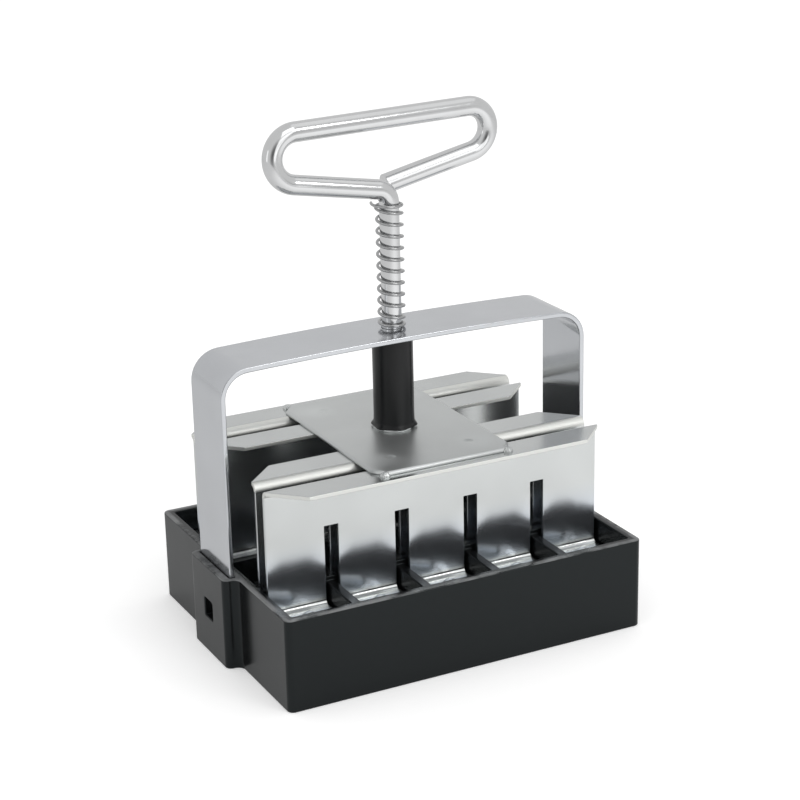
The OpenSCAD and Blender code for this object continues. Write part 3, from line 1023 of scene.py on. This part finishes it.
@dataclass
class RodAndLoop:
    """The rod: threaded foot, stem, neck and the loop that closes behind the neck."""

    rod_r: float = 3.0
    neck_r: float = 4.5
    neck_above: float = 38.13
    left_rise: float = 9.8
    right_fall: float = 12.6
    left_r: float = 7.6
    right_r: float = 7.1
    grip_tilt: float = 0.5
    free_end_x: float = 1.9
    closing: float = 6.2
    tip_bevel: float = 0.2
    sides: int = 64
    neck_step: float = 4.0
    stem_step: float = 1.0
    longest_step: float = 0.6
    shortest_step: float = 0.05
    thread_pitch: float = 1.0
    thread_depth: float = 0.45
    thread_top: float = 16.0
    thread_fade: float = 1.5
    thread_chamfer: float = 0.7
    thread_step: float = 0.1

    def _loop(self, neck_z: float, half_width: float) -> Array:
        """Middle of the rod from the neck to its free end, before it drifts to the rear.

        Args:
            neck_z: height at which the stem starts to bend.
            half_width: half the handle's width.

        Returns:
            Points in the XZ plane, with straight stretches divided evenly.
        """
        rise, fall, tilt = (math.radians(v) for v in (self.left_rise, self.right_fall, self.grip_tilt))
        neck = arc(-self.neck_r, neck_z, self.neck_r, 0.0, 90.0 - self.left_rise, self.neck_step)
        left_x = -(half_width - self.rod_r - self.left_r)
        right_x = half_width - self.rod_r - self.right_r
        foot_x = left_x - self.left_r * math.sin(rise)
        foot_z = neck[-1, 2] + (neck[-1, 0] - foot_x) * math.tan(rise)
        left_z = foot_z + self.left_r * math.cos(rise)
        span = right_x - self.right_r * math.sin(tilt) - left_x + self.left_r * math.sin(tilt)
        right_z = left_z + (self.left_r - self.right_r) * math.cos(tilt) + span * math.tan(tilt)
        left = arc(left_x, left_z, self.left_r, 270.0 - self.left_rise, 90.0 + self.grip_tilt)
        right = arc(right_x, right_z, self.right_r, 90.0 + self.grip_tilt, self.right_fall - 90.0)
        end_z = right[-1, 2] - (right[-1, 0] - self.free_end_x) * math.tan(fall)
        return self._even(np.concatenate([neck, left, right, [[self.free_end_x, 0.0, end_z]]]))

    def _even(self, path: Array) -> Array:
        """The same line with further points, none of them farther apart than longest_step."""
        run = lengths(path)
        marks = np.unique(np.concatenate([run, np.arange(0.0, run[-1], self.longest_step)]))
        marks = marks[np.concatenate([[True], np.diff(marks) > self.shortest_step])]
        return np.stack([np.interp(marks, run, path[:, i]) for i in range(3)], axis=1)

    def build(self) -> None:
        """Carries the rod's circle up the stem and round the loop, and cuts the thread."""
        low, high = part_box("loop_handle")
        foot = low.z / MM
        strap_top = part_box("strap_handle")[1].z / MM
        neck_z = strap_top + self.neck_above
        loop = self._loop(neck_z, (high.x - low.x) / MM / 2.0)
        run = lengths(loop)
        loop[:, 1] = self.closing * ease(run / run[-1])
        stem_z = np.arange(self.thread_top, neck_z - foot, self.stem_step) + foot
        path = np.concatenate([np.outer(stem_z, (0.0, 0.0, 1.0)), loop])
        to_rear = (0.0, 1.0, 0.0)
        rod = carry(path, circle(self.rod_r, self.sides), to_rear)
        narrow = carry(path, circle(self.rod_r - self.tip_bevel, self.sides), to_rear)
        tip = narrow[-1] + self.tip_bevel * unit(path[-1] - path[-2])
        shell = Shell()
        shell.grid(rod)
        shell.grid(np.stack([rod[-1], tip]))
        shell.lid(tip)
        self._thread(shell, foot, stem_z[0])
        piece = shell.piece("rod_and_loop", smooth_angle=40.0)
        dress(piece, ROD, Body.PLUNGER, "loop_handle")

    def _thread(self, shell: Shell, foot: float, top: float) -> None:
        """Adds the threaded foot, whose thread fades at its top and is chamfered at its end.

        The radius at height z and angle a is rod_r - depth |2 p - 1|, where p is the
        fractional part of z / pitch - a / 2 pi.

        Args:
            shell: the mesh it is added to.
            foot: the rod's lower end.
            top: the height at which the plain stem starts.
        """
        z = np.arange(foot, top + 0.5 * self.thread_step, self.thread_step)[:, None]
        z[-1] = top
        a = around(self.sides)
        phase = (z / self.thread_pitch - a / FULL_TURN) % 1.0
        fade = ease((top - z) / self.thread_fade)
        chamfer = self.thread_chamfer * (1.0 - np.clip((z - foot) / self.thread_chamfer, 0.0, 1.0))
        r = self.rod_r - fade * self.thread_depth * np.abs(2.0 * phase - 1.0)
        grid = turned(np.minimum(r, self.rod_r - chamfer), z, a)
        shell.grid(grid, flip=True)
        shell.lid(grid[0], flip=True)


# -------------------------------------------------------------------- studio


def heading(bearing: float, height: float) -> Vector:
    """The direction at a bearing from +Y towards +X and a height, both in degrees."""
    turn, rise = math.radians(bearing), math.radians(height)
    level = math.cos(rise)
    return Vector((math.sin(turn) * level, math.cos(turn) * level, math.sin(rise)))


@dataclass(frozen=True)
class SoftBox:
    """A soft box that faces the object: where it stands, its size and how bright it looks."""

    name: str
    bearing: float
    height: float
    width: float
    tall: float
    brightness: float
    far: float = 1.6
    aim: float = 0.07

    def build(self) -> None:
        """Hangs an area lamp whose power is brightness times pi times its area."""
        towards = heading(self.bearing, self.height)
        data = bpy.data.lights.new(self.name, "AREA")
        data.shape = "RECTANGLE"
        data.size = self.width
        data.size_y = self.tall
        data.energy = self.brightness * math.pi * self.width * self.tall
        spot = Matrix.Translation(towards * self.far + Vector((0.0, 0.0, self.aim)))
        turn = towards.to_track_quat("Z", "Y").to_matrix()
        hang(self.name, data).matrix_world = spot @ turn.to_4x4()


@dataclass(frozen=True)
class PhotoCamera:
    """The photograph's camera, as fitted to points measured in it."""

    stand: tuple[float, float, float] = (-268.5, -535.1, 278.8)
    bearing: float = 26.83
    look_down: float = 19.28
    roll: float = 1.3
    focal_px: float = 2092.6
    frame_px: float = 800.0
    sensor_mm: float = 36.0
    nearest: float = 0.01
    farthest: float = 50.0

    def build(self) -> None:
        """Sets a camera that looks along its bearing, tilted down and rolled."""
        bearing, roll = math.radians(self.bearing), math.radians(self.roll)
        forward = heading(self.bearing, -self.look_down)
        level = Vector((math.cos(bearing), -math.sin(bearing), 0.0))
        upright = level.cross(forward)
        right = level * math.cos(roll) - upright * math.sin(roll)
        up = upright * math.cos(roll) + level * math.sin(roll)
        data = bpy.data.cameras.new("photo_camera")
        data.sensor_width = self.sensor_mm
        data.lens = self.focal_px * self.sensor_mm / self.frame_px
        data.clip_start = self.nearest
        data.clip_end = self.farthest
        camera = hang("photo_camera", data)
        turn = Matrix((right, up, -forward)).transposed()
        camera.matrix_world = Matrix.Translation(Vector(self.stand) * MM) @ turn.to_4x4()
        bpy.context.scene.camera = camera


@dataclass(frozen=True)
class Floor:
    """A pale floor that keeps the object's shadow, with a sunlit patch at the front right."""

    near: tuple[float, float] = (-1.4, -0.6)
    far: tuple[float, float] = (1.4, 3.0)
    sunk: float = 0.00005
    pale: float = 0.86
    mirrored: float = 0.68
    glow: float = 0.3
    mirrored_glow: float = 0.1
    sunlit_glow: float = 0.4
    sunlit_at: tuple[float, float, float] = (0.12, -0.24, 0.0)
    sunlit_reach: float = 0.42

    def build(self) -> None:
        """Lays one square just under the object and makes it shine a little, by kind of ray."""
        (left, front), (right, rear) = self.near, self.far
        plan = ((left, front), (right, front), (right, rear), (left, rear))
        corners = [(x, y, -self.sunk) for x, y in plan]
        mesh = bpy.data.meshes.new("floor")
        mesh.from_pydata(corners, [], [(0, 1, 2, 3)])
        floor = hang("floor", mesh)
        material = bpy.data.materials.new("pale_floor")
        material.use_nodes = True
        bench = Bench(material.node_tree)
        eye, mirror = bench.rays()
        sunlit = bench.nearness(bench.place(), self.sunlit_at, self.sunlit_reach)
        strength = self.glow * eye + mirror * (self.mirrored_glow + self.sunlit_glow * sunlit)
        pale = bench.blend(mirror, grey(self.pale), grey(self.mirrored))
        diffuse = bench.add("ShaderNodeBsdfDiffuse", {}, {"Color": pale})
        glow = bench.add("ShaderNodeEmission", {}, {"Color": WHITE, "Strength": strength})
        both = bench.add("ShaderNodeAddShader", {}, {0: diffuse.outputs[0], 1: glow.outputs[0]})
        bench.add("ShaderNodeOutputMaterial", {}, {"Surface": both.outputs[0]})
        mesh.materials.append(material)


@dataclass(frozen=True)
class Surroundings:
    """Even white surroundings, dark in mirrors where the photographer and a skyline stand."""

    ambient: float = 0.86
    mirrored: float = 0.76
    dark: float = 0.62
    dark_bearing: float = -158.0
    dark_height: float = 6.0
    dark_reach: float = 0.62
    skyline_share: float = 0.75
    skyline_bearing: float = 168.0
    skyline_height: float = 4.0
    skyline_squeeze: float = 6.0
    skyline_reach: float = 0.6

    def build(self) -> None:
        """Makes the world, which the eye sees white and mirrors see darker towards two sides."""
        world = bpy.data.worlds.new("studio")
        world.use_nodes = True
        bpy.context.scene.world = world
        bench = Bench(world.node_tree)
        eye, mirror = bench.rays()
        behind = bench.nearness(bench.place(), heading(self.dark_bearing, self.dark_height), self.dark_reach)
        level = heading(self.skyline_bearing, 0.0)
        squeezed = self.skyline_squeeze * math.sin(math.radians(self.skyline_height))
        low = bench.place((1.0, 1.0, self.skyline_squeeze))
        skyline = bench.nearness(low, (level.x, level.y, squeezed), self.skyline_reach)
        shade = behind.at_least(self.skyline_share * skyline)
        strength = self.ambient + (1.0 - self.ambient) * eye
        strength = strength + mirror * (self.mirrored - self.ambient - self.dark * shade)
        back = bench.add("ShaderNodeBackground", {}, {"Color": WHITE, "Strength": strength})
        bench.add("ShaderNodeOutputWorld", {}, {"Surface": back.outputs[0]})


@dataclass
class Studio:
    """Camera, pale floor, even surroundings and soft boxes."""

    soft_boxes: tuple[SoftBox, ...] = (
        SoftBox("top_box", 95.0, 64.0, 1.1, 0.9, 0.22),
        SoftBox("fold_box", 151.0, 33.0, 0.32, 0.36, 5.2),
        SoftBox("key_low", 173.0, 13.0, 0.8, 1.0, 0.8),
        SoftBox("key_high", 173.0, 53.0, 0.8, 0.95, 1.0),
        SoftBox("left_strip", -98.0, 6.0, 0.35, 0.9, 0.65),
    )

    def build(self) -> None:
        """Sets up everything around the object."""
        for thing in (PhotoCamera(), Floor(), Surroundings(), *self.soft_boxes):
            thing.build()
        bpy.context.scene.view_settings.view_transform = "Standard"


def main() -> None:
    """Builds the studio and every sub-assembly."""
    logging.basicConfig(level=logging.INFO, format="%(name)s: %(message)s")
    Studio().build()
    fixed = (CellBlock(), Strap(), ReturnSpring())
    sliding = (RodAndLoop(), Sleeve(), Bridge(), FoldedSheets(), SeedPins())
    for part in fixed + sliding:
        log.info("building %s", type(part).__name__)
        part.build()


if __name__ == "__main__":
    main()
